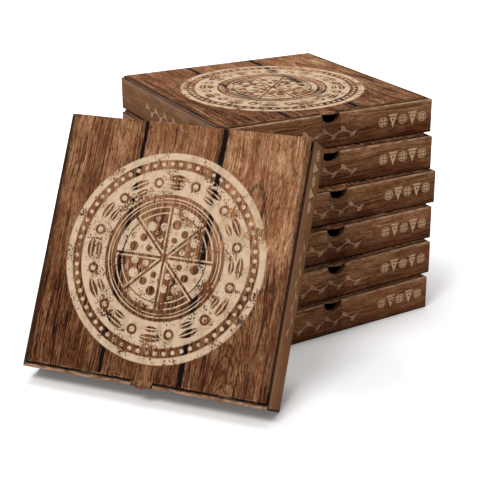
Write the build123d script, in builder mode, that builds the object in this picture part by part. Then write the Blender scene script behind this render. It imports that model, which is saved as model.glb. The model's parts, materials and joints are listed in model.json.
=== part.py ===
"""Six closed pizza boxes in an uneven stack, with a seventh leaning on the near corner.

Every box is one die-cut sheet of corrugated board, folded up: a bottom panel, two side
walls whose corner flaps are held in the double front wall and behind the rear wall, and
a lid that is folded over from the rear wall. Origin: middle of the underside of the
lowest box, +Z up, its front towards -Y.
"""
import os
from math import cos, radians, sin, tan

from build123d import *

# Size of one box, in millimetres
board = 1.7             # thickness of the corrugated board
box_width = 330.0       # outside, across the front
box_depth = 330.0       # outside, front to rear
rim_height = 47.0       # underside to the top edge of the walls
fold_radius = 1.4       # outside of a fold along the bottom panel
rim_radius = 1.2        # outside of the folds along the rim and the lid, and of the corner flaps' bends

# Room between folded plies
ply_play = 0.2          # between plies that lie side by side
slot_play = 0.5         # round a locking tab in its slot
lid_lift = 0.6          # underside of the lid above the rim
lid_side_gap = 2.0      # lid edge to the inner face of a side wall
lid_front_gap = 1.4     # lid edge to the inner ply of the front wall
overrun = 5.0           # how far a cutting tool passes beyond a face

# Tray details
corner_flap_length = 72.0   # flap at each end of a side wall
corner_flap_drop = 1.5      # corner flap's upper edge below what covers it
flap_corner_radius = 10.0   # free corners of the corner flaps
notch_width = 29.0          # half-moon thumb notch in the front wall
notch_depth = 12.5
lock_tab_width = 24.0       # tabs under the inner front ply, held in slots of the bottom
lock_tab_spacing = 190.0

# Lid details
pull_tab_width = 28.0       # half-round tab that lies over the thumb notch
pull_tab_length = 9.2       # beyond the lid's front edge
tuck_hole_width = 30.0      # half-moon hole in the front flap, behind the thumb notch
tuck_hole_depth = 17.0
tuck_height = 36.0          # front flap of the lid
tuck_side_room = 7.0        # front flap's end to the lid's corner
tuck_corner_radius = 16.0
tuck_slant = 4.0            # degrees inward, so that the flap swings clear of the front wall
ear_end_room = 14.0         # side ear's ends to the lid's front and rear edges
ear_floor_room = 2.0        # side ear's lower edge above the bottom panel
ear_corner_radius = 18.0

# The stack: each box is shifted and turned a little against the lowest one
shift_shares = (
    (0.0, 0.0), (0.025, 0.020), (0.054, 0.054), (0.093, 0.084), (0.108, 0.129), (0.129, 0.166))
turn_angles = (0.0, 0.5, -0.7, -1.6, -4.4, -4.2)

# The leaning box: on the floor with the lower edge of its front wall, lid outwards
lean_angle = 60.1           # degrees between its bottom panel and the floor
lean_turn = -53.25          # degrees that its width is turned from the stack's
lean_slide_share = 0.077    # of the width: from its middle to the near corner of the top box
lean_play = 0.2             # between the leaning box and the corner

# Derived sizes
half_width = box_width / 2
half_depth = box_depth / 2
front_wall_depth = board + ply_play + board + ply_play + board
roll_half_width = half_width - board - ply_play
inner_ply_y = -half_depth + front_wall_depth
wall_end = half_depth - board - ply_play
lid_half_width = half_width - board - lid_side_gap
lid_front_y = inner_ply_y + lid_front_gap
lid_underside = rim_height + lid_lift
lid_top = lid_underside + board
hinge_y = half_depth - board / 2
hinge_z = lid_underside + board / 2
top_level = len(turn_angles) - 1


def stack_place(level):
    """Where the box of one level stands: it rests on the lid of the box below."""
    share_x, share_y = shift_shares[level]
    corner = (share_x * box_width, share_y * box_depth, level * lid_top)
    return Location(corner, (0, 0, turn_angles[level]))


def leaning_place():
    """The leaning box stands on the floor and touches the first near corner that it meets.

    A corner as high as its rear lower edge meets that edge. A lower one meets its underside.
    """
    tilt = radians(lean_angle)
    turn = radians(lean_turn)
    across = Vector(cos(turn), sin(turn), 0)
    inward = Vector(-sin(turn), cos(turn), 0)
    sink = fold_radius * (sin(tilt) + cos(tilt)) - fold_radius
    edge_reach = (box_depth - fold_radius) * cos(tilt) - fold_radius * sin(tilt) + fold_radius
    edge_height = (box_depth - fold_radius) * sin(tilt) + fold_radius * cos(tilt) - sink
    stops = []
    for level in range(top_level + 1):
        corner = (stack_place(level) * Location((-half_width, -half_depth, 0))).position
        if corner.Z < edge_height:
            underside_reach = (corner.Z + rim_height + sink) / tan(tilt)
            stops.append(corner.dot(inward) - min(edge_reach, underside_reach))
    foot = inward * (min(stops) - lean_play)
    foot += across * (corner.dot(across) - lean_slide_share * box_width)
    middle = foot + inward * (half_depth * cos(tilt)) + Vector(0, 0, half_depth * sin(tilt) - sink)
    outward = Vector(0, 0, cos(tilt)) - inward * sin(tilt)
    return Plane(origin=middle, x_dir=across, z_dir=outward).location


def corner_flap(front):
    """Two flaps folded inwards from the ends of the side walls at the front or the rear."""
    outer_y = -wall_end if front else wall_end - board
    top = rim_height - (board if front else 0) - corner_flap_drop
    height = top - board - ply_play
    with BuildPart() as flaps:
        with BuildSketch(Plane.XZ.offset(-outer_y - board)):
            for side in (-1, 1):
                middle = side * (half_width - corner_flap_length / 2)
                with Locations((middle, top - height / 2)):
                    Rectangle(corner_flap_length, height)
            inner = vertices().group_by(lambda v: round(abs(v.X), 3))[0]
            fillet(inner, flap_corner_radius)
        extrude(amount=board)
    return flaps.part


def tray():
    """Bottom panel with its walls: sides, rear, and the front wall rolled over inwards."""
    with BuildPart() as body:
        # Bottom panel and side walls, bent up from it
        with BuildSketch(Plane.XZ.offset(-wall_end)):
            with Locations((0, rim_height / 2)):
                Rectangle(box_width, rim_height)
            fillet(vertices().group_by(Axis.Y)[0], fold_radius)
            with Locations((0, board + rim_height / 2)):
                Rectangle(box_width - board - board, rim_height, mode=Mode.SUBTRACT)
        extrude(amount=wall_end + wall_end)

        # Corner flaps, each bent round from the end of a side wall
        add(corner_flap(front=True))
        add(corner_flap(front=False))
        reach = rim_radius + overrun
        with BuildSketch(Plane.XY.offset(-overrun)):
            for side_x, side_y in ((-1, -1), (-1, 1), (1, -1), (1, 1)):
                bend = Location((side_x * (half_width - rim_radius), side_y * (wall_end - rim_radius)))
                with Locations(bend * Location((side_x * reach / 2, side_y * reach / 2))):
                    Rectangle(reach, reach)
                with Locations(bend):
                    Circle(rim_radius, mode=Mode.SUBTRACT)
        extrude(amount=rim_height + overrun + overrun, mode=Mode.SUBTRACT)

        # Rear wall and outer front ply, each with the fold that joins it to the bottom
        for side in (-1, 1):
            with BuildSketch(Plane.YZ.offset(-half_width)):
                with Locations((side * (half_depth - board / 2), rim_height / 2)):
                    Rectangle(board, rim_height)
                outer = vertices().sort_by(Axis.X)[-1 if side > 0 else 0].X
                low = vertices().filter_by(lambda v: abs(v.X - outer) < ply_play).sort_by(Axis.Y)[0]
                fillet(low, fold_radius)
            extrude(amount=box_width)
            with BuildSketch(Plane.XY):
                with Locations((0, side * (half_depth - fold_radius - (board + ply_play) / 2))):
                    Rectangle(box_width - fold_radius - fold_radius, board + ply_play)
            extrude(amount=board)

        # The front wall is rolled over: a strip along the rim and a ply inside
        with BuildSketch(Plane.YZ.offset(-roll_half_width)):
            with Locations((-half_depth + front_wall_depth / 2, rim_height - board / 2)):
                Rectangle(front_wall_depth, board)
            inner_height = rim_height - board - ply_play
            with Locations((inner_ply_y - board / 2, rim_height - inner_height / 2)):
                Rectangle(board, inner_height)
            fillet(vertices().group_by(Axis.Y)[-1], rim_radius)
        extrude(amount=roll_half_width + roll_half_width)

        # Locking tabs of the inner ply, each in a slot of the bottom panel
        tab_places = [(side * lock_tab_spacing / 2, inner_ply_y - board / 2) for side in (-1, 1)]
        with BuildSketch(Plane.XY):
            with Locations(*tab_places):
                Rectangle(lock_tab_width + slot_play + slot_play, board + slot_play + slot_play)
        extrude(amount=board, mode=Mode.SUBTRACT)
        with BuildSketch(Plane.XY.offset(ply_play)):
            with Locations(*tab_places):
                Rectangle(lock_tab_width, board)
        extrude(amount=board + ply_play)

        # The outer front ply is rounded along its upper edge
        upper = body.edges().filter_by(Axis.X).filter_by(
            lambda e: abs(e.center().Y + half_depth) < ply_play and e.center().Z > rim_height - board)
        fillet(upper, rim_radius)

        # Thumb notch through both plies
        with BuildSketch(Plane.XZ.offset(half_depth + overrun)):
            with Locations((0, rim_height)):
                Ellipse(notch_width / 2, notch_depth)
        extrude(amount=-front_wall_depth - overrun - overrun, mode=Mode.SUBTRACT)
    return body.part


def lid():
    """Lid panel with front flap, side ears and pull tab, closed."""
    panel_depth = hinge_y - lid_front_y
    with BuildPart() as cover:
        # Panel, with its folds along the sides and the front, and a round hinge fold
        with BuildSketch(Plane.XY.offset(lid_underside)):
            with Locations((0, hinge_y - panel_depth / 2)):
                Rectangle(lid_half_width + lid_half_width, panel_depth)
        extrude(amount=board)
        folds = cover.faces().sort_by(Axis.Z)[-1].edges().filter_by(
            lambda e: e.center().Y < hinge_y - board)
        fillet(folds, rim_radius)
        with BuildSketch(Plane.YZ.offset(-lid_half_width)):
            with Locations((hinge_y, hinge_z)):
                Circle(board / 2)
        extrude(amount=lid_half_width + lid_half_width)

        # Half-round pull tab in the plane of the lid
        with BuildSketch(Plane.XY.offset(lid_underside)):
            with Locations((0, lid_front_y)):
                Ellipse(pull_tab_width / 2, pull_tab_length)
        extrude(amount=board)

        # Side ears, tucked inside the side walls
        ear_bottom = board + ear_floor_room
        ear_height = lid_underside - ear_bottom
        ear_length = panel_depth - ear_end_room - ear_end_room
        for side in (-1, 1):
            with BuildSketch(Plane.YZ.offset(side * (lid_half_width - board / 2) - board / 2)):
                with Locations((hinge_y - panel_depth / 2, ear_bottom + ear_height / 2)):
                    Rectangle(ear_length, ear_height)
                fillet(vertices().group_by(Axis.Y)[0], ear_corner_radius)
            extrude(amount=board)

        # Front flap, slanted inwards, with a half-moon hole behind the thumb notch
        slant = radians(tuck_slant)
        tuck_width = lid_half_width + lid_half_width - tuck_side_room - tuck_side_room
        tuck_plane = Plane(
            origin=(0, lid_front_y + board * sin(slant), hinge_z),
            x_dir=(1, 0, 0), z_dir=(0, -cos(slant), -sin(slant)))
        with BuildSketch(tuck_plane):
            with Locations((0, -tuck_height / 2)):
                Rectangle(tuck_width, tuck_height)
            fillet(vertices().group_by(Axis.Y)[0], tuck_corner_radius)
            with Locations((0, -board / 2)):
                Ellipse(tuck_hole_width / 2, tuck_hole_depth, mode=Mode.SUBTRACT)
        extrude(amount=-board)
    return cover.part


def hinge_fold():
    """Fold that joins the lid of a closed box to its rear wall."""
    with BuildPart() as fold:
        with BuildSketch(Plane.YZ.offset(-lid_half_width)):
            with Locations((hinge_y, (rim_height - board + hinge_z) / 2)):
                Rectangle(board, hinge_z - rim_height + board)
        extrude(amount=lid_half_width + lid_half_width)
    return fold.part


os.makedirs("parts", exist_ok=True)
tray_form = tray()
lid_form = lid()

# The five lower boxes are closed and held shut by what lies on them
with BuildPart() as closed_box:
    add(tray_form)
    add(lid_form)
    add(hinge_fold())

for level in range(top_level):
    with BuildPart() as lower_box:
        with Locations(stack_place(level)):
            add(closed_box.part)
    name = f"box_{level + 1}"
    lower_box.part.label = name
    export_step(lower_box.part, f"parts/{name}.step")

# The top box and the leaning box can be opened, so each has its lid apart from its tray
for name, place in (("top_box", stack_place(top_level)), ("leaning_box", leaning_place())):
    with BuildPart() as open_tray:
        with Locations(place):
            add(tray_form)
    open_tray.part.label = f"{name}_tray"
    export_step(open_tray.part, f"parts/{name}_tray.step")
    with BuildPart() as open_lid:
        with Locations(place):
            add(lid_form)
    open_lid.part.label = f"{name}_lid"
    export_step(open_lid.part, f"parts/{name}_lid.step")
    hinge = place * Location((0, hinge_y, hinge_z))
    print(name, "hinge at", hinge.position, "along", Plane(place).x_dir)
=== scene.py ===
"""Looks for the stack of pizza boxes: printed board materials, floor, lamps and camera.

All lengths are in metres, apart from the shader's own coordinates, which are millimetres
in the frame of one box: x across its front, y from front to rear, z up from its underside.
"""

import json
from math import cos, pi, radians, sin, tau

import bpy
from mathutils import Matrix, Vector


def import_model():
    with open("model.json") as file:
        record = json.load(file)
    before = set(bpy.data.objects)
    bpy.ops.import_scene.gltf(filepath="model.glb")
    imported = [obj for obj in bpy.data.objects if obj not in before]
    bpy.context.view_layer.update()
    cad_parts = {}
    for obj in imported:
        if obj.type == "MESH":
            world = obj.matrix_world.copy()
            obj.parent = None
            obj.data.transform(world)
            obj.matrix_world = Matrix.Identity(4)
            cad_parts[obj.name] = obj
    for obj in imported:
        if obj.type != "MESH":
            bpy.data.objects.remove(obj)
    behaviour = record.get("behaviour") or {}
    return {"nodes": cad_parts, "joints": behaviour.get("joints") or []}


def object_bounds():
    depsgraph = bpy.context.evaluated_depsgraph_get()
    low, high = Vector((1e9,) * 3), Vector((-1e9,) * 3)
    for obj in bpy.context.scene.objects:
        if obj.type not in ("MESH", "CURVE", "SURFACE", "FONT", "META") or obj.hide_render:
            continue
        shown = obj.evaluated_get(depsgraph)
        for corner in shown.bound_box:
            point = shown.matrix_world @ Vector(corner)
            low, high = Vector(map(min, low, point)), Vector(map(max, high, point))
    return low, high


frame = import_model()
cad_box = [list(corner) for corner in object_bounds()]

# The boxes, as the part's source has them
BOX_WIDTH = 0.330
BOX_DEPTH = 0.330
PITCH = 0.0493
SHIFT_SHARES = ((0.0, 0.0), (0.025, 0.020), (0.054, 0.054),
                (0.093, 0.084), (0.108, 0.129), (0.129, 0.166))
TURN_ANGLES = (0.0, 0.5, -0.7, -1.6, -4.4, -4.2)
LEAN_ANGLE = 60.1
HINGE_BACK = 0.16415        # from a box's middle to the hinge of its lid
HINGE_UP = 0.04845

# The same in the shader's millimetres
HALF = 165.0
RIM = 47.0
BOARD = 1.7
LID_TOP = 49.3
LID_HALF = 161.3
INNER_PLY = -159.5          # inside of the front wall
LID_FRONT = -158.1          # front edge of the lid, without its pull tab
NOTCH_HALF = 14.5           # half the width of the thumb notch
TAB_REACH = 15.5            # takes in the thumb notch and the pull tab to either side
NOTCH_FOOT = 30.0           # a height below the lowest place of the thumb notch
FLUTE_TURN = 1.5            # radians of the flutes' wave for each millimetre

# Planks of a lid: x of the two joints, and how far they slant for each millimetre
FIRST_JOINT = -57.3
SECOND_JOINT = 49.8
FIRST_SLANT = 0.008
SECOND_SLANT = 0.006

# The round ornament on a lid
ROUNDEL_X = -0.8
ROUNDEL_Y = -4.5
ROUNDEL_RADIUS = 132.5
BEADS = 64
LEAF_PAIRS = 12
SLICES = 8

# The row of slices and rounds on a wall, and the vine: start, step, number, height
ROW_START = 76.0
ROW_STEP = 16.2
ROW_COUNT = 5
ROW_HEIGHT = 25.0
VINE_START = -78.0
VINE_STEP = 15.0
VINE_COUNT = 8
VINE_HEIGHT = 20.0
SLANT = 0.7071              # sine of 45 degrees, for the leaves

# Noise seed from one box to the next, and how bright a lid's print is at its front; the leaning
# box's lower value adds painted shade towards the floor
SEED_STEP = 3.7
STACK_FOOT = 0.84
LEANING_FOOT_SHADE = 0.62

# The photograph's frame, and the camera: angles in degrees, focal length in its pixels
IMAGE_SIZE = 480
CAMERA_AZIMUTH = -31.84
CAMERA_PITCH = 21.20
CAMERA_ROLL = -0.343
CAMERA_FOCAL = 1221.23
CAMERA_DISTANCE = 1.762
AIM_HEIGHT = 0.130
AIM_RIGHT = -0.03904
AIM_UP = -0.04244
SENSOR = 36.0

# The floor: its half width, its grey for the camera and for the other rays, a spot amid
# the boxes, and the spot in front of the stack where a deeper shadow is painted
FLOOR_HALF = 6.0
FLOOR_SEEN = 0.86
FLOOR_LIT = 0.72
BOXES_SPOT = (-0.16, -0.20)
SHADOW_SPOT = (-0.03, -0.28)

# The world's light on the boxes, and its brightness behind them
SKY_LIGHT = 0.30
SKY_SEEN = 1.0


def srgb(r, g, b):
    """A colour given as 0 to 255 in sRGB, as the linear colour that a node takes."""
    parts = []
    for value in (r, g, b):
        c = value / 255
        parts.append(c / 12.92 if c <= 0.04045 else ((c + 0.055) / 1.055) ** 2.4)
    return (*parts, 1.0)


# Colours of the printed wood, from its darkest tone to its palest
WOOD_TONES = ((0.0, srgb(46, 20, 9)), (0.30, srgb(98, 58, 34)), (0.52, srgb(132, 87, 56)),
              (0.75, srgb(158, 112, 78)), (1.0, srgb(196, 150, 112)))
RED_WOOD = srgb(120, 58, 36)
OLIVE_WOOD = srgb(122, 92, 50)
SLIT = srgb(38, 15, 6)
PORE = srgb(64, 30, 15)
GLINT = srgb(206, 158, 118)
ARCH = srgb(50, 22, 10)
# Painted shade towards the plank edges
PLANK_EDGE_SHADE = srgb(44, 20, 10)
# Painted highlight beside the plank joints
JOINT_HIGHLIGHT = srgb(176, 134, 100)
PLANK_JOINT = srgb(12, 5, 3)
WALL_MEAN = srgb(115, 71, 43)
WALL_DULL = srgb(128, 91, 62)
WALL_DUSTY = srgb(150, 111, 78)
# Painted highlight along the side walls' rim
SIDE_WALL_RIM_HIGHLIGHT = srgb(152, 126, 114)
# Painted warm light on the right side walls
RIGHT_WALL_WARM_LIGHT = srgb(190, 122, 70)

# Pale inks
LID_INK = srgb(216, 187, 158)
LID_INK_STAINED = srgb(190, 165, 132)
FRONT_INK = srgb(212, 176, 140)
SIDE_INK = srgb(230, 196, 160)

# Bare board, cut edges, worn places and painted shade
KRAFT_DARK = srgb(158, 118, 80)
KRAFT_PALE = srgb(188, 149, 108)
KRAFT_SPECK = srgb(118, 82, 54)
KRAFT_LINE = srgb(112, 78, 50)
# Painted shade in the flutes' hollows, and cut papers darkened with painted shade
FLUTE_HOLLOW_SHADE = srgb(30, 17, 11)
EDGE_PAPER_SHADED = srgb(80, 58, 43)
NOTCH_SHADE = srgb(52, 34, 22)
STRIP_DARK = srgb(102, 76, 56)
STRIP_WORN = srgb(196, 160, 132)
# Painted shade in gaps and seams
PAINTED_SHADE_BROWN = srgb(26, 13, 7)
CRACKED = srgb(176, 134, 98)


# Places of the boxes

def stack_matrix(level):
    """Where a closed box of the stack stands. Levels count from 0 at the floor."""
    share_x, share_y = SHIFT_SHARES[level]
    place = Vector((share_x * BOX_WIDTH, share_y * BOX_DEPTH, level * PITCH))
    return Matrix.Translation(place) @ Matrix.Rotation(radians(TURN_ANGLES[level]), 4, "Z")


def leaning_matrix():
    """Where the leaning box stands, worked out from the hinge of its lid.

    Its own axes run across its front, up its slope and out of its lid.
    """
    hinge = next(j for j in frame["joints"] if j["child"] == "leaning_lid")
    across = -Vector(hinge["axis"]).normalized()
    inward = Vector((-across.y, across.x, 0))
    tilt = radians(LEAN_ANGLE)
    outward = Vector((0, 0, cos(tilt))) - inward * sin(tilt)
    slope = outward.cross(across)
    middle = Vector(hinge["pos_m"]) - slope * HINGE_BACK - outward * HINGE_UP
    return Matrix.Translation(middle) @ Matrix((across, slope, outward)).transposed().to_4x4()


TOP = 5
LEANING = 6
PLACES = [stack_matrix(level) for level in range(TOP + 1)] + [leaning_matrix()]
BOX_OF_NODE = {f"box_{level + 1}": level for level in range(TOP)}
for name, box in (("top_box", TOP), ("leaning_box", LEANING)):
    for part in ("tray", "lid"):
        BOX_OF_NODE[f"{name}_{part}"] = box


# Shader arithmetic

class Value:
    """A number in a node tree. Arithmetic on it adds Math nodes."""

    tree = None

    def __init__(self, socket):
        self.socket = socket

    @staticmethod
    def feed(socket, value):
        if isinstance(value, Value):
            Value.tree.links.new(value.socket, socket)
        elif isinstance(value, bpy.types.NodeSocket):
            Value.tree.links.new(value, socket)
        else:
            socket.default_value = value

    @staticmethod
    def math(operation, *values, clamp=False):
        node = Value.tree.nodes.new("ShaderNodeMath")
        node.operation = operation
        node.use_clamp = clamp
        for socket, value in zip(node.inputs, values):
            Value.feed(socket, value)
        return Value(node.outputs[0])

    def __add__(self, other):
        return Value.math("ADD", self, other)

    def __sub__(self, other):
        return Value.math("SUBTRACT", self, other)

    def __rsub__(self, other):
        return Value.math("SUBTRACT", other, self)

    def __mul__(self, other):
        return Value.math("MULTIPLY", self, other)

    def __truediv__(self, other):
        return Value.math("DIVIDE", self, other)

    def __pow__(self, other):
        return Value.math("POWER", self, other)

    def __gt__(self, other):
        return Value.math("GREATER_THAN", self, other)

    def __lt__(self, other):
        return Value.math("LESS_THAN", self, other)

    def abs(self):
        return Value.math("ABSOLUTE", self)

    def sin(self):
        return Value.math("SINE", self)

    def cos(self):
        return Value.math("COSINE", self)

    def floor(self):
        return Value.math("FLOOR", self)

    def wrap(self, low, high):
        """Repeats from low to high. The node takes the high end first."""
        return Value.math("WRAP", self, high, low)

    def from_middle(self):
        """How far a number is from the middle between two whole ones."""
        return (Value.math("FRACT", self) - 0.5).abs()

    def inverse(self):
        """The mask of what a mask leaves out."""
        return Value.math("SUBTRACT", 1.0, self, clamp=True)


def both(*masks):
    """The mask of what all the masks share."""
    out = masks[0]
    for mask in masks[1:]:
        out = Value.math("MULTIPLY", out, mask)
    return out


def either(*masks):
    """The mask of what at least one of the masks covers."""
    out = masks[0]
    for mask in masks[1:]:
        out = Value.math("MAXIMUM", out, mask)
    return out


def least(first, second):
    return Value.math("MINIMUM", first, second)


def length(u, v):
    return Value.math("SQRT", u * u + v * v)


def ramp(value, low, high, to_low=0.0, to_high=1.0):
    """Goes smoothly from to_low to to_high as value goes from low to high."""
    node = Value.tree.nodes.new("ShaderNodeMapRange")
    node.interpolation_type = "SMOOTHSTEP"
    for name, number in (("Value", value), ("From Min", low), ("From Max", high),
                         ("To Min", to_low), ("To Max", to_high)):
        Value.feed(node.inputs[name], number)
    return Value(node.outputs["Result"])


def vector(x, y, z):
    node = Value.tree.nodes.new("ShaderNodeCombineXYZ")
    for socket, value in zip(node.inputs, (x, y, z)):
        Value.feed(socket, value)
    return node.outputs[0]


def parts_of(socket):
    node = Value.tree.nodes.new("ShaderNodeSeparateXYZ")
    Value.tree.links.new(socket, node.inputs[0])
    return [Value(out) for out in node.outputs]


def noise(where, detail=2.0, rough=0.5):
    node = Value.tree.nodes.new("ShaderNodeTexNoise")
    Value.tree.links.new(where, node.inputs["Vector"])
    node.inputs["Scale"].default_value = 1.0
    node.inputs["Detail"].default_value = detail
    node.inputs["Roughness"].default_value = rough
    return Value(node.outputs["Fac"])


def mix(factor, first, second, blend="MIX"):
    """Mixes two colours. The node's colour sockets follow those of its other types."""
    node = Value.tree.nodes.new("ShaderNodeMix")
    node.data_type = "RGBA"
    node.blend_type = blend
    Value.feed(node.inputs[0], factor)
    Value.feed(node.inputs[6], first)
    Value.feed(node.inputs[7], second)
    return node.outputs[2]


def shaded(colour, shade):
    """Darkens a colour to a warmer tone, and lightens it to a cooler one."""
    return mix(1.0, colour, vector(shade, shade ** 1.3, shade ** 1.5), "MULTIPLY")


# Printed wood

def plank_print(across, along, seed, busy):
    """Brown plank print with its grain along one direction. busy is its share of dark streaks."""
    bend = noise(vector(across / 60, along / 120, seed), 1.0)
    a = across + (bend - 0.5) * 14
    broad = noise(vector(a / 26, along / 48, seed + 3.1), 4.0, 0.62)
    streak = noise(vector(a / 6.0, along / 110, seed + 7.7), 4.0, 0.66)
    fibre = noise(vector(a / 1.25, along / 10, seed + 11.3), 4.0, 0.72)
    slit = noise(vector(a / 2.4, along / 75, seed + 23.3), 3.0, 0.62)
    pore = noise(vector(a / 1.3, along / 5.5, seed + 67.0), 3.0, 0.62)
    flame = noise(vector(a / 17, along / 105, seed + 17.9), 2.0, 0.45)
    group = noise(vector(a / 20, along / 70, seed + 29.5), 2.0, 0.5)
    hue = noise(vector(a / 12, along / 24, seed + 41.0), 3.0, 0.6)

    tone = (broad - 0.5) * 1.1 + (streak - 0.5) * (busy * 0.7 + 1.05)
    tone = tone + (fibre - 0.5) * (busy * 0.9 + 1.15) + busy * -0.05 + 0.60
    node = Value.tree.nodes.new("ShaderNodeValToRGB")
    Value.feed(node.inputs[0], tone)
    stops = node.color_ramp.elements
    darkest, *between, palest = WOOD_TONES
    for stop, (position, colour) in zip(stops, (darkest, palest)):
        stop.position = position
        stop.color = colour
    for position, colour in between:
        stops.new(position).color = colour
    wood = mix(ramp(hue, 0.50, 0.64, 0.0, 0.45), node.outputs[0], RED_WOOD)
    wood = mix(ramp(hue, 0.46, 0.34, 0.0, 0.30), wood, OLIVE_WOOD)

    lively = ramp(group + busy * 0.20, 0.44, 0.62, 0.12, 1.0)
    lines = both(ramp((flame * 9.0).from_middle(), 0.02, 0.10, 1.0, 0.0), ramp(fibre, 0.60, 0.46))
    slits = both(ramp(slit, 0.52, 0.60), lively)
    dark = either(lines * (busy * 0.25 + 0.60), slits * (busy * 0.20 + 0.75))
    wood = mix(dark, wood, SLIT)
    wood = mix(ramp(pore, 0.545, 0.60) * 0.55, wood, PORE)
    glints = both(ramp(slit, 0.44, 0.37), lively)
    return mix(glints * 0.22, wood, GLINT)


def arches(x, y, seed):
    """Thin dark arches of a plank that was cut near the heart.

    They are a family of parabolas, and a single one further back.
    """
    bend = (noise(vector(x / 18, y / 34, seed + 51.0), 1.5, 0.5) - 0.5) * 2.6
    low = (x - 104.0) / 13.0
    order = low * low + (y - 12.0) / 17.0 + bend
    family = both(ramp(order.from_middle(), 0.06, 0.20, 1.0, 0.0),
                  ramp(low.abs(), 4.2, 2.6), ramp(y, 30, 0))
    high = (x - 106.0) / 12.0
    arch = high * high + (y - 112.0) / 26.0 + bend * 0.5
    single = both(ramp((arch + 0.4).abs(), 0.10, 0.34, 1.0, 0.0), ramp(y, 20, 55), x > 56)
    broken = ramp(noise(vector(x / 2.2, y / 7.0, seed + 57.0), 3.0, 0.6), 0.40, 0.56)
    return either(family, single) * (broken * 0.7 + 0.3)


def lid_wood(x, y, seed, foot):
    """Three planks from front to rear with dark joints, as a colour and the mask of the joints.

    foot is how bright the print is at the front; the leaning box's lower value is painted shade
    towards the floor.
    """
    wobble = (noise(vector(y / 26, seed, 0.0), 3.0, 0.6) - 0.5) * 3.6
    first = x - FIRST_JOINT - y * FIRST_SLANT + wobble
    second = x - SECOND_JOINT - y * SECOND_SLANT + wobble
    plank = (first > 0) + (second > 0)
    busy = ramp(y, 150, -110, 0.15, 1.0) * ramp(plank, 1.0, 2.0, 1.0, 0.55)
    wood = plank_print(x, y, seed + plank * 31.7, busy)
    wood = mix(arches(x, y, seed) * 0.75, wood, ARCH)
    # Print darker towards the front, with painted shade added through foot on the leaning box
    wood = shaded(wood, ramp(y, -HALF, plank * -55 + 170, foot, 1.12) * (plank * 0.12 + 0.90))

    # Painted shade darkens the planks towards the joints and the lid's sides
    near = least(first.abs(), second.abs() * 0.72)
    rim = least(near, LID_HALF - x.abs())
    wood = mix(ramp(rim, 2.0, 9.0, 0.50, 0.0), wood, PLANK_EDGE_SHADE)
    # A broken pale line on the left edge of the plank right of each joint is a painted highlight
    left_edge = either(both(first > 0, first < 12), both(second > 0, second < 12))
    highlight_breaks = ramp(noise(vector(x / 2.0, y / 9.0, seed + 61.0), 3.0, 0.6), 0.46, 0.58)
    joint_highlight = both(ramp(near, 4.6, 3.8), ramp(near, 2.6, 3.2), left_edge, highlight_breaks)
    wood = mix(joint_highlight * 0.60, wood, JOINT_HIGHLIGHT)
    width = noise(vector(y / 16, seed + 3.0, 2.0), 3.0, 0.6) * 3.6 + 0.6
    joint = ramp(near - width, 0.55, -0.45)
    return mix(joint * 0.97, wood, PLANK_JOINT), joint


def wall_wood(along, height, seed, plain):
    """One plank along the wall, darker towards its foot and lighter towards its rim, with a painted
    highlight along the rim of the side walls. plain is 1 on the side walls.
    """
    wood = mix(0.28, plank_print(height * 1.1, along, seed, 0.30), WALL_MEAN)
    wave = (noise(vector(along / 45, seed, 4.0), 2.0) - 0.5) * 10
    wood = shaded(wood, ramp(height + wave, 1, 50, 0.58, 1.28))
    dust = noise(vector(along / 30, height / 7, seed + 3.0), 3.0, 0.6)
    quiet = mix(ramp(dust, 0.3, 0.7), WALL_DULL, WALL_DUSTY)
    wood = mix(plain * 0.40, wood, quiet)
    # Painted highlight along the rim of the side walls
    return mix(both(plain, ramp(height, 36, 46)) * 0.40, wood, SIDE_WALL_RIM_HIGHLIGHT)


# Printed ornaments

def wear(x, y, seed, amount, patchy):
    """Where the pale ink has held: it misses small specks, and patches as far as patchy says."""
    specks = noise(vector(x / 2.6, y / 3.4, seed), 4.0, 0.7)
    patches = noise(vector(x / 26, y / 26, seed + 5.0), 3.0, 0.6)
    level = (patches - 0.5) * patchy + amount
    return ramp(specks - level, -0.03, 0.035)


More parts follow.
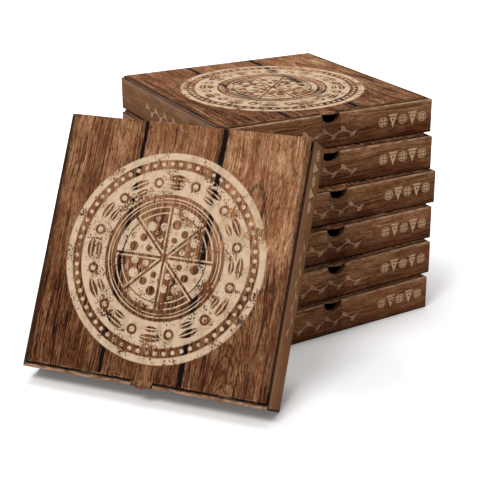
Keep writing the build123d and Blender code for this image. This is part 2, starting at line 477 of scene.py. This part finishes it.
def roundel(x, y, seed):
    """A pizza wheel in a round frame: rings, beads, a band with leaves and olives, eight slices.

    Its radii and lengths are shares of its own radius.
    """
    dx = (x - ROUNDEL_X) / ROUNDEL_RADIUS
    dy = (y - ROUNDEL_Y) / ROUNDEL_RADIUS
    radius = length(dx, dy)
    angle = Value.math("ARCTAN2", dy, dx)

    def ring(low, high, soft=0.006):
        return both(ramp(radius, low - soft, low + soft), ramp(radius, high + soft, high - soft))

    def cell(count, middle, turn=0.0):
        """Coordinates in one of count cells round the circle, from the cell's middle."""
        half_step = pi / count
        return (angle + turn).wrap(-half_step, half_step) * middle, radius - middle

    def spot(u, v, size, soft=0.006):
        return ramp(length(u, v), size + soft, size - soft)

    def leaf(u, v, reach, width):
        share = (u / reach).abs()
        body = ramp(v.abs() - (1.0 - share * share) * width, 0.006, -0.004)
        vein = ramp(v.abs(), 0.0075, 0.0035)
        return both(body, share < 1.0, vein.inverse())

    outer = ring(0.935, 1.0)
    beads = spot(*cell(BEADS, 0.893), 0.020)
    u, v = cell(LEAF_PAIRS, 0.722)
    leaves = either(leaf(u, v - 0.035, 0.105, 0.036), leaf(u, v + 0.048, 0.080, 0.028))
    u, v = cell(LEAF_PAIRS, 0.722, pi / LEAF_PAIRS)
    olives = both(spot(u, v, 0.052), spot(u, v, 0.026).inverse())
    band = both(ring(0.600, 0.845), leaves.inverse(), olives.inverse())
    thin = either(ring(0.556, 0.568, 0.004), ring(0.528, 0.535, 0.004))

    # Slices with straight cuts, each with a crust, three rounds and two flecks
    step = tau / SLICES
    local = (angle + step / 2).wrap(-step / 2, step / 2)
    side = local.sin() * radius
    forward = local.cos() * radius
    to_cut = (step / 2 - local.abs()).sin() * radius
    wedge = both(ramp(to_cut, 0.008, 0.016), ring(0.02, 0.490), ramp(forward, 0.03, 0.05))
    crust = ring(0.418, 0.430, 0.004)
    rounds = either(spot(side - 0.055, forward - 0.325, 0.046),
                    spot(side + 0.062, forward - 0.285, 0.038),
                    spot(side, forward - 0.185, 0.030))
    flecks = either(leaf(side + 0.02, forward - 0.382, 0.038, 0.013),
                    leaf(side - 0.02, forward - 0.250, 0.030, 0.011))
    outline = either(ramp(to_cut, 0.030, 0.024), ring(0.476, 0.495, 0.004))

    # Every second slice is filled, and the others are drawn in outline
    odd = ((angle + step / 2) / step + 0.5).floor().wrap(0.0, 2.0)
    filled = both(wedge, crust.inverse(), rounds.inverse(), flecks.inverse())
    hollow = both(wedge, either(outline, crust, rounds, flecks))
    wheel = odd * hollow + odd.inverse() * filled
    return both(either(outer, beads, band, thin, wheel), wear(x, y, seed, 0.395, 0.95))


def wall_row(along, height):
    """Slices and rounds by turns near the right end of a wall."""
    shifted = along - ROW_START
    index = (shifted / ROW_STEP).floor()
    u = shifted - (index + 0.5) * ROW_STEP
    v = height - ROW_HEIGHT
    wedge = both(ramp(v, 9.6, 8.9), ramp(u.abs() - (v + 10.0) * 0.37, 0.5, -0.4))
    crust = both(ramp(v, 4.6, 5.2), ramp(v, 6.6, 6.0))
    topping = ramp(length(u, v - 1.2), 1.9, 1.3)
    piece = both(wedge, crust.inverse(), topping.inverse())
    distance = length(u, v)
    pie = both(ramp(distance, 7.4, 6.7), ramp((distance - 5.2).abs(), 0.35, 0.80),
               ramp(u.abs(), 0.30, 0.75), ramp(v.abs(), 0.30, 0.75))
    odd = index.wrap(0.0, 2.0)
    inside = both(shifted > 0, shifted < ROW_STEP * ROW_COUNT)
    return both(inside, odd * piece + odd.inverse() * pie)


def wall_vine(along, height):
    """A waving stem left of the middle, with leaves above and below it by turns."""
    start = along - VINE_START
    number = (start / VINE_STEP).floor()
    side = number.wrap(0.0, 2.0) * 2.0 - 1.0
    above_vine = height - VINE_HEIGHT
    stem = ramp((above_vine - (start * (pi / VINE_STEP)).sin() * 3.0).abs(), 0.95, 0.45)
    across = start - (number + 0.55) * VINE_STEP
    above = above_vine * side + 4.6
    share = (across + above) * SLANT / 6.4
    wide = ((above - across) * SLANT).abs()
    leaf = both(ramp(wide - (1.0 - share * share) * 2.3, 0.5, -0.3), share.abs() < 1.0,
                ramp(wide, 0.25, 0.6))
    return both(either(stem, leaf), start > 0, start < VINE_STEP * VINE_COUNT)


# The board as one group

def lid_print(x, y, seed, foot):
    """The lid's planks with the ornament on them, and the mask of their joints."""
    wood, joint = lid_wood(x, y, seed, foot)
    stain = noise(vector(x / 14, y / 22, seed + 8.0), 4.0, 0.65)
    ink = mix(ramp(stain, 0.44, 0.66), LID_INK, LID_INK_STAINED)
    return mix(roundel(x, y, seed) * (joint * -0.06 + 0.92), wood, ink), joint


def wall_print(x, y, z, nx, ny, seed):
    """A wall's plank with its row and its vine, which read from left to right on each wall."""
    on_side = nx.abs() > ny.abs()
    right = nx > 0
    rear = ny > 0
    along = on_side * right * y - on_side * (nx < 0) * y
    along = along + on_side.inverse() * ((ny < 0) * x - rear * x)
    wood_seed = seed + 2.0 + on_side * 5.0 + right * 9.0 + rear * 13.0
    wall = wall_wood(along, z, wood_seed, on_side)

    # Painted light: the walls of the lower boxes are made a little lighter, against the shade they
    # get near the floor
    lower_box_light = ramp(seed, SEED_STEP, SEED_STEP * TOP, 1.2, 1.0)
    wall = mix(1.0, wall, vector(lower_box_light, lower_box_light, lower_box_light), "MULTIPLY")
    # Painted warm light on the side walls that face +x
    wall = mix(both(on_side, x > 0) * 0.25, wall, RIGHT_WALL_WARM_LIGHT)
    ink = mix(on_side, FRONT_INK, SIDE_INK)
    row = both(wall_row(along, z), wear(along, z, seed + 1.0, 0.37, 0.35))
    wall = mix(row * 0.90, wall, ink)
    vine = both(wall_vine(along, z), wear(along, z, seed + 10.0, 0.40, 0.50))
    return mix(vine * 0.62, wall, ink)


def kraft_board(x, y, z, ny):
    """Bare kraft with specks and the faint lines of its flutes, and the flutes' wave."""
    pulp = noise(vector(x / 1.3, y / 1.9, z / 1.3), 4.0, 0.7)
    cloud = noise(vector(x / 40, y / 40, z / 40), 2.0)
    kraft = mix(ramp(pulp * 0.84 + cloud * 0.16, 0.36, 0.64), KRAFT_DARK, KRAFT_PALE)
    specks = ramp(noise(vector(x / 1.9, y / 1.3, z / 1.9 + 40.0), 3.0, 0.7), 0.62, 0.69)
    kraft = mix(specks * 0.40, kraft, KRAFT_SPECK)
    front_or_rear = ny.abs() > 0.5
    across_flutes = front_or_rear * z + front_or_rear.inverse() * y
    flute = (across_flutes * FLUTE_TURN).sin() * 0.5 + 0.5
    return mix(flute * 0.10, kraft, KRAFT_LINE), flute


def cut_edge(x, y, z, raw_rim, raw_end):
    """A cut edge of the board: two papers, and a third that waves between them. The hollows between
    them are painted shade, and the papers are darkened with painted shade too.
    """
    inner = HALF - BOARD
    depth = raw_rim * ((x.abs() - inner) / BOARD) + raw_end * ((y.abs() - inner) / BOARD)
    wave = ((raw_rim * y + raw_end * z) * FLUTE_TURN).sin() * 0.27 + 0.5
    paper = either(ramp((depth - wave).abs(), 0.17, 0.11), ramp((depth - 0.5).abs(), 0.36, 0.42))
    return mix(paper, FLUTE_HOLLOW_SHADE, EDGE_PAPER_SHADED)


def board_group():
    """Colour, roughness and height of a printed box, from a place and a direction in its frame."""
    tree = bpy.data.node_groups.new("printed_board", "ShaderNodeTree")
    for name, kind, way in (("Place", "Vector", "INPUT"), ("Facing", "Vector", "INPUT"),
                            ("Seed", "Float", "INPUT"), ("Foot", "Float", "INPUT"),
                            ("Color", "Color", "OUTPUT"), ("Roughness", "Float", "OUTPUT"),
                            ("Height", "Float", "OUTPUT")):
        tree.interface.new_socket(name=name, in_out=way, socket_type=f"NodeSocket{kind}")
    Value.tree = tree
    given = tree.nodes.new("NodeGroupInput")
    wanted = tree.nodes.new("NodeGroupOutput")
    x, y, z = parts_of(given.outputs["Place"])
    nx, ny, nz = parts_of(given.outputs["Facing"])
    seed = Value(given.outputs["Seed"])

    # Where each face belongs on the sheet
    lid_face = both(nz > 0.35, z > RIM + 1.3)
    strip_face = both(z > RIM - 1.6, z < RIM + 0.3, y < INNER_PLY + 0.1, x.abs() < HALF - BOARD)
    outside_x = both(x.abs() > LID_HALF - 0.1, nx.abs() > 0.5, nx * x > 0)
    outside_y = both(y.abs() > HALF - 0.7, ny.abs() > 0.35, ny * y > 0)
    flap_face = both(y < -HALF + 24, ny < -0.8, y > LID_FRONT - 0.3)
    roll_face = both(y < INNER_PLY + 0.3, y > INNER_PLY - 1.0, ny > 0.35)
    hinge_face = both(y > HALF - BOARD - 0.4, z > RIM - 0.1)
    raw_end = both(nx.abs() > 0.5, x.abs() > HALF - 0.1, y.abs() > HALF - BOARD - 0.05)
    raw_rim = both(nz > 0.8, z > RIM - 0.2, z < RIM + 0.2, x.abs() > HALF - BOARD - 0.05)
    raw = either(raw_end, raw_rim)
    printed = either(lid_face, strip_face, outside_x, outside_y, flap_face, roll_face, hinge_face)
    printed = both(printed, raw.inverse())

    # Bare board, with shade on the cut through the thumb notch
    kraft, flute = kraft_board(x, y, z, ny)
    bare = mix(raw, kraft, cut_edge(x, y, z, raw_rim, raw_end))
    notch_cut = both(x.abs() < TAB_REACH, y < INNER_PLY + 0.2, z > NOTCH_FOOT, z < RIM + 0.2,
                     printed.inverse())
    bare = mix(notch_cut * 0.62, bare, NOTCH_SHADE)

    # Print, with a greyer, worn strip along the rim
    top, joint = lid_print(x, y, seed, Value(given.outputs["Foot"]))
    wall = wall_print(x, y, z, nx, ny, seed)
    worn_strip = ramp(noise(vector(x / 12, y / 3, seed + 6.0), 3.0, 0.6), 0.36, 0.62)
    wall = mix(strip_face * 0.62, wall, mix(worn_strip, STRIP_DARK, STRIP_WORN))
    colour = mix(lid_face, wall, top)

    # Painted shade: in the gap from the strip to the lid, along the lid's front and left edges,
    # at the walls' feet between the boxes, and at the end of the pull tab
    on_tab = x.abs() < TAB_REACH
    painted_shade = either(both(strip_face, ramp(y, -HALF + 2.6, -HALF + 4.6)),
                  both(lid_face, ramp(y, LID_FRONT + 1.3, LID_FRONT + 0.5), x.abs() > NOTCH_HALF),
                  both(lid_face.inverse(), either(outside_x, outside_y), ramp(z, 3.4, 1.2)),
                  both(lid_face, ramp(x, -LID_HALF + 1.7, -LID_HALF + 0.8)) * 0.8,
                  both(on_tab, y < LID_FRONT, ramp(y, LID_FRONT, LID_FRONT - 6)) * 0.35)
    colour = mix(painted_shade * 0.82, colour, PAINTED_SHADE_BROWN)
    colour = mix(printed, bare, colour)

    # Folds where the print has cracked and shows some paper
    lid_fold = either(ramp(x, LID_HALF - 1.5, LID_HALF - 0.5),
                      ramp(y, LID_FRONT + 2.6, LID_FRONT + 1.6))
    fold = either(both(z > LID_TOP - 1.3, lid_fold), both(outside_y, ramp(z, RIM - 1.6, RIM - 0.7)))
    rubbed = ramp(noise(vector(x / 7, y / 7, seed + 2.5), 4.0, 0.7), 0.47, 0.60)
    colour = mix(both(fold, printed, rubbed) * 0.45, colour, CRACKED)

    grain = noise(vector(x / 1.1, y / 1.1, z / 1.1), 2.0, 0.6)
    washboard = both(flute, raw.inverse()) * (printed * -0.15 + 0.25)
    height = grain * 0.25 + washboard + joint * lid_face * -0.35
    rough = ramp(grain, 0.3, 0.7, 0.62, 0.78) + printed.inverse() * 0.15
    tree.links.new(colour, wanted.inputs["Color"])
    tree.links.new(rough.socket, wanted.inputs["Roughness"])
    tree.links.new(height.socket, wanted.inputs["Height"])
    return tree


def board_material(node_name, box, group):
    place = PLACES[box]
    material = bpy.data.materials.new(f"printed_board_{node_name}")
    material.use_nodes = True
    tree = material.node_tree
    nodes = tree.nodes
    shader = nodes["Principled BSDF"]
    shader.inputs["Specular IOR Level"].default_value = 0.06
    coordinates = nodes.new("ShaderNodeTexCoord")

    # These two undo the box's place and turn, and the first gives millimetres
    to_box = nodes.new("ShaderNodeMapping")
    to_box.vector_type = "TEXTURE"
    to_box.inputs["Location"].default_value = place.to_translation()
    to_box.inputs["Rotation"].default_value = place.to_euler("XYZ")
    to_box.inputs["Scale"].default_value = (0.001, 0.001, 0.001)
    facing = nodes.new("ShaderNodeMapping")
    facing.vector_type = "TEXTURE"
    facing.inputs["Rotation"].default_value = place.to_euler("XYZ")

    board = nodes.new("ShaderNodeGroup")
    board.node_tree = group
    board.inputs["Seed"].default_value = (box + 1) * SEED_STEP
    board.inputs["Foot"].default_value = LEANING_FOOT_SHADE if box == LEANING else STACK_FOOT
    bump = nodes.new("ShaderNodeBump")
    bump.inputs["Strength"].default_value = 0.5
    bump.inputs["Distance"].default_value = 0.00035
    tree.links.new(coordinates.outputs["Object"], to_box.inputs["Vector"])
    tree.links.new(coordinates.outputs["Normal"], facing.inputs["Vector"])
    tree.links.new(to_box.outputs[0], board.inputs["Place"])
    tree.links.new(facing.outputs[0], board.inputs["Facing"])
    tree.links.new(board.outputs["Color"], shader.inputs["Base Color"])
    tree.links.new(board.outputs["Roughness"], shader.inputs["Roughness"])
    tree.links.new(board.outputs["Height"], bump.inputs["Height"])
    tree.links.new(bump.outputs[0], shader.inputs["Normal"])
    return material


# Floor, world, lamps, camera

def floor_glow():
    """How much the floor that the camera sees glows: much far from the boxes, little near them,
    which paints their shadow.
    """
    x, y, _ = parts_of(Value.tree.nodes.new("ShaderNodeTexCoord").outputs["Object"])

    def distance(spot):
        return length(x - spot[0], y - spot[1])

    away = ramp(distance(BOXES_SPOT), 0.36, 0.72, 0.25, 0.9)
    # A painted deeper shadow in front of the stack
    painted_deep_shadow = ramp(distance(SHADOW_SPOT), 0.03, 0.11, 0.5, 1.0)
    # Painted contact shade where the boxes close the floor in
    open_sky = Value.tree.nodes.new("ShaderNodeAmbientOcclusion")
    open_sky.inputs["Distance"].default_value = 0.10
    open_sky.samples = 8
    near = ramp(Value(open_sky.outputs["AO"]), 0.25, 0.88, 0.45, 1.0)

    # None under the leaning box, as a painted contact shadow, where the glow would show through the
    # slots of the locking tabs
    leaning = PLACES[LEANING]
    foot = leaning @ Vector((0, -BOX_DEPTH / 2, 0))
    across = leaning.to_3x3() @ Vector((1, 0, 0))
    dx = x - foot.x
    dy = y - foot.y
    behind = dy * across.x - dx * across.y
    beside = (dx * across.x + dy * across.y).abs()
    under = both(ramp(behind, 0.0, 0.003), ramp(behind, 0.10, 0.02),
                 ramp(beside, BOX_WIDTH * 0.52, BOX_WIDTH * 0.48))
    return both(away, near, under.inverse(), painted_deep_shadow)


def floor():
    mesh = bpy.data.meshes.new("floor")
    signs = ((-1, -1), (1, -1), (1, 1), (-1, 1))
    corners = [(x * FLOOR_HALF, y * FLOOR_HALF, 0) for x, y in signs]
    mesh.from_pydata(corners, [], [(0, 1, 2, 3)])
    plane = bpy.data.objects.new("floor", mesh)
    bpy.context.scene.collection.objects.link(plane)
    plane.location.z = cad_box[0][2] - 0.0002
    material = bpy.data.materials.new("floor_white")
    material.use_nodes = True
    tree = material.node_tree
    tree.nodes.clear()
    Value.tree = tree
    out = tree.nodes.new("ShaderNodeOutputMaterial")
    rays = tree.nodes.new("ShaderNodeLightPath")
    seen = tree.nodes.new("ShaderNodeBsdfDiffuse")
    seen.inputs["Color"].default_value = (FLOOR_SEEN, FLOOR_SEEN, FLOOR_SEEN, 1)
    glow = tree.nodes.new("ShaderNodeEmission")
    Value.feed(glow.inputs["Strength"], floor_glow())
    seen_and_glow = tree.nodes.new("ShaderNodeAddShader")
    plain = tree.nodes.new("ShaderNodeBsdfDiffuse")
    plain.inputs["Color"].default_value = (FLOOR_LIT, FLOOR_LIT, FLOOR_LIT, 1)
    choose = tree.nodes.new("ShaderNodeMixShader")
    tree.links.new(seen.outputs[0], seen_and_glow.inputs[0])
    tree.links.new(glow.outputs[0], seen_and_glow.inputs[1])
    tree.links.new(rays.outputs["Is Camera Ray"], choose.inputs[0])
    tree.links.new(plain.outputs[0], choose.inputs[1])
    tree.links.new(seen_and_glow.outputs[0], choose.inputs[2])
    tree.links.new(choose.outputs[0], out.inputs[0])
    mesh.materials.append(material)


def world():
    """White behind everything, and a weaker light from all sides."""
    sky = bpy.data.worlds.new("studio")
    bpy.context.scene.world = sky
    sky.use_nodes = True
    tree = sky.node_tree
    tree.nodes.clear()
    out = tree.nodes.new("ShaderNodeOutputWorld")
    rays = tree.nodes.new("ShaderNodeLightPath")
    choose = tree.nodes.new("ShaderNodeMixShader")
    tree.links.new(rays.outputs["Is Camera Ray"], choose.inputs[0])
    for number, strength in ((1, SKY_LIGHT), (2, SKY_SEEN)):
        light = tree.nodes.new("ShaderNodeBackground")
        light.inputs["Color"].default_value = (1.0, 1.0, 1.0, 1)
        light.inputs["Strength"].default_value = strength
        tree.links.new(light.outputs[0], choose.inputs[number])
    tree.links.new(choose.outputs[0], out.inputs[0])


def lamp(name, place, size, power):
    """A round lamp that shines at the middle of the boxes, near the floor."""
    data = bpy.data.lights.new(name, "AREA")
    data.shape = "DISK"
    data.size = size
    data.energy = power
    light = bpy.data.objects.new(name, data)
    bpy.context.scene.collection.objects.link(light)
    light.location = place
    to_boxes = Vector((0, 0, 0.1)) - Vector(place)
    light.rotation_euler = to_boxes.to_track_quat("-Z", "Y").to_euler()


def camera():
    azimuth = radians(CAMERA_AZIMUTH)
    pitch = radians(CAMERA_PITCH)
    roll = radians(CAMERA_ROLL)
    right = Vector((cos(azimuth), sin(azimuth), 0))
    forward = Vector((-sin(azimuth) * cos(pitch), cos(azimuth) * cos(pitch), -sin(pitch)))
    up = right.cross(forward)
    target = Vector((0, 0, AIM_HEIGHT)) + right * AIM_RIGHT + up * AIM_UP
    side = right * cos(roll) + up * sin(roll)
    top = up * cos(roll) - right * sin(roll)
    data = bpy.data.cameras.new("camera")
    data.sensor_width = SENSOR
    data.lens = CAMERA_FOCAL * SENSOR / IMAGE_SIZE
    data.clip_end = 50
    eye = bpy.data.objects.new("camera", data)
    bpy.context.scene.collection.objects.link(eye)
    turn = Matrix((side, top, -forward)).transposed().to_4x4()
    eye.matrix_world = Matrix.Translation(target - forward * CAMERA_DISTANCE) @ turn
    bpy.context.scene.camera = eye


board = board_group()
for node_name, box in BOX_OF_NODE.items():
    material = board_material(node_name, box, board)
    for slot in frame["nodes"][node_name].material_slots:
        slot.material = material

floor()
world()
lamp("key", place=(-1.7, -0.9, 2.3), size=1.1, power=47)
lamp("top", place=(0.2, 0.6, 2.6), size=2.0, power=31)
camera()
bpy.context.scene.view_settings.view_transform = "Standard"
